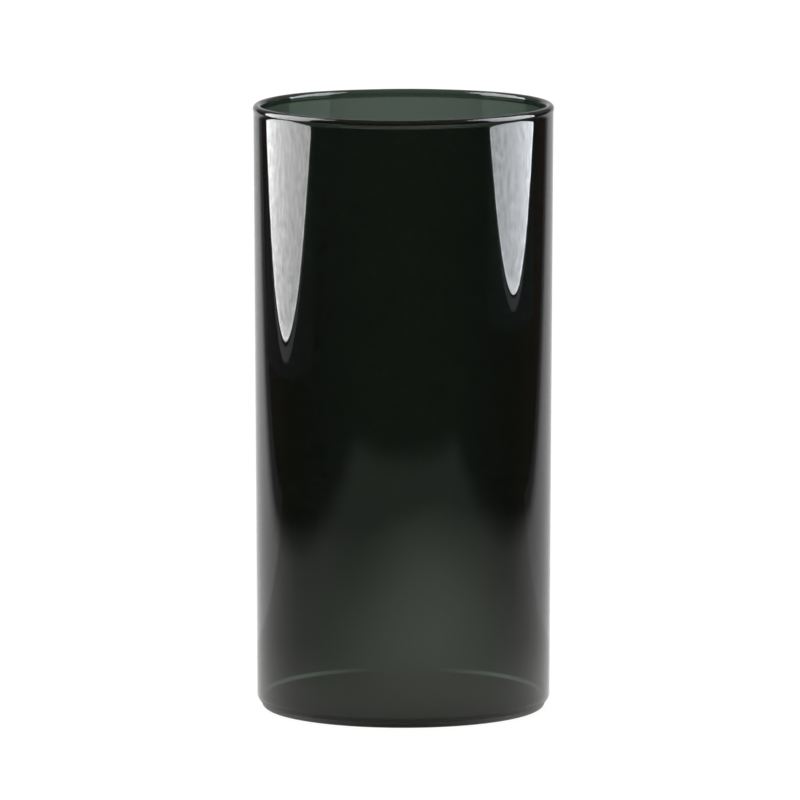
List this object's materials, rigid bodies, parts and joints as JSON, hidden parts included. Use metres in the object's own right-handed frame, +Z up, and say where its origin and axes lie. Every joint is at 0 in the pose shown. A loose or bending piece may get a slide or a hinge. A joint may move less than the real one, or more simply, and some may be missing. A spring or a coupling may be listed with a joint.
{
  "type": "glass cylinder vase",
  "caption": "Straight-sided cylinder vase in dark grey-green tinted glass, with a beaded rim, a rounded heel and a flat foot, for cut flowers in water.",
  "frame": {"origin": "centre of the foot's underside, on the surface that the vase stands on", "axes": "+Z up along the vase's axis, out of its mouth; +X and +Y are any two level directions, because the vase is round"},
  "size_m": [0.1484, 0.1484, 0.3],
  "materials": {
    "smoked_glass": "clear polished, tinted dark grey-green through its thickness"
  },
  "bodies": {
    "root": {"glass_tube": "smoked_glass", "base_disc": "smoked_glass"}
  },
  "joints": []
}
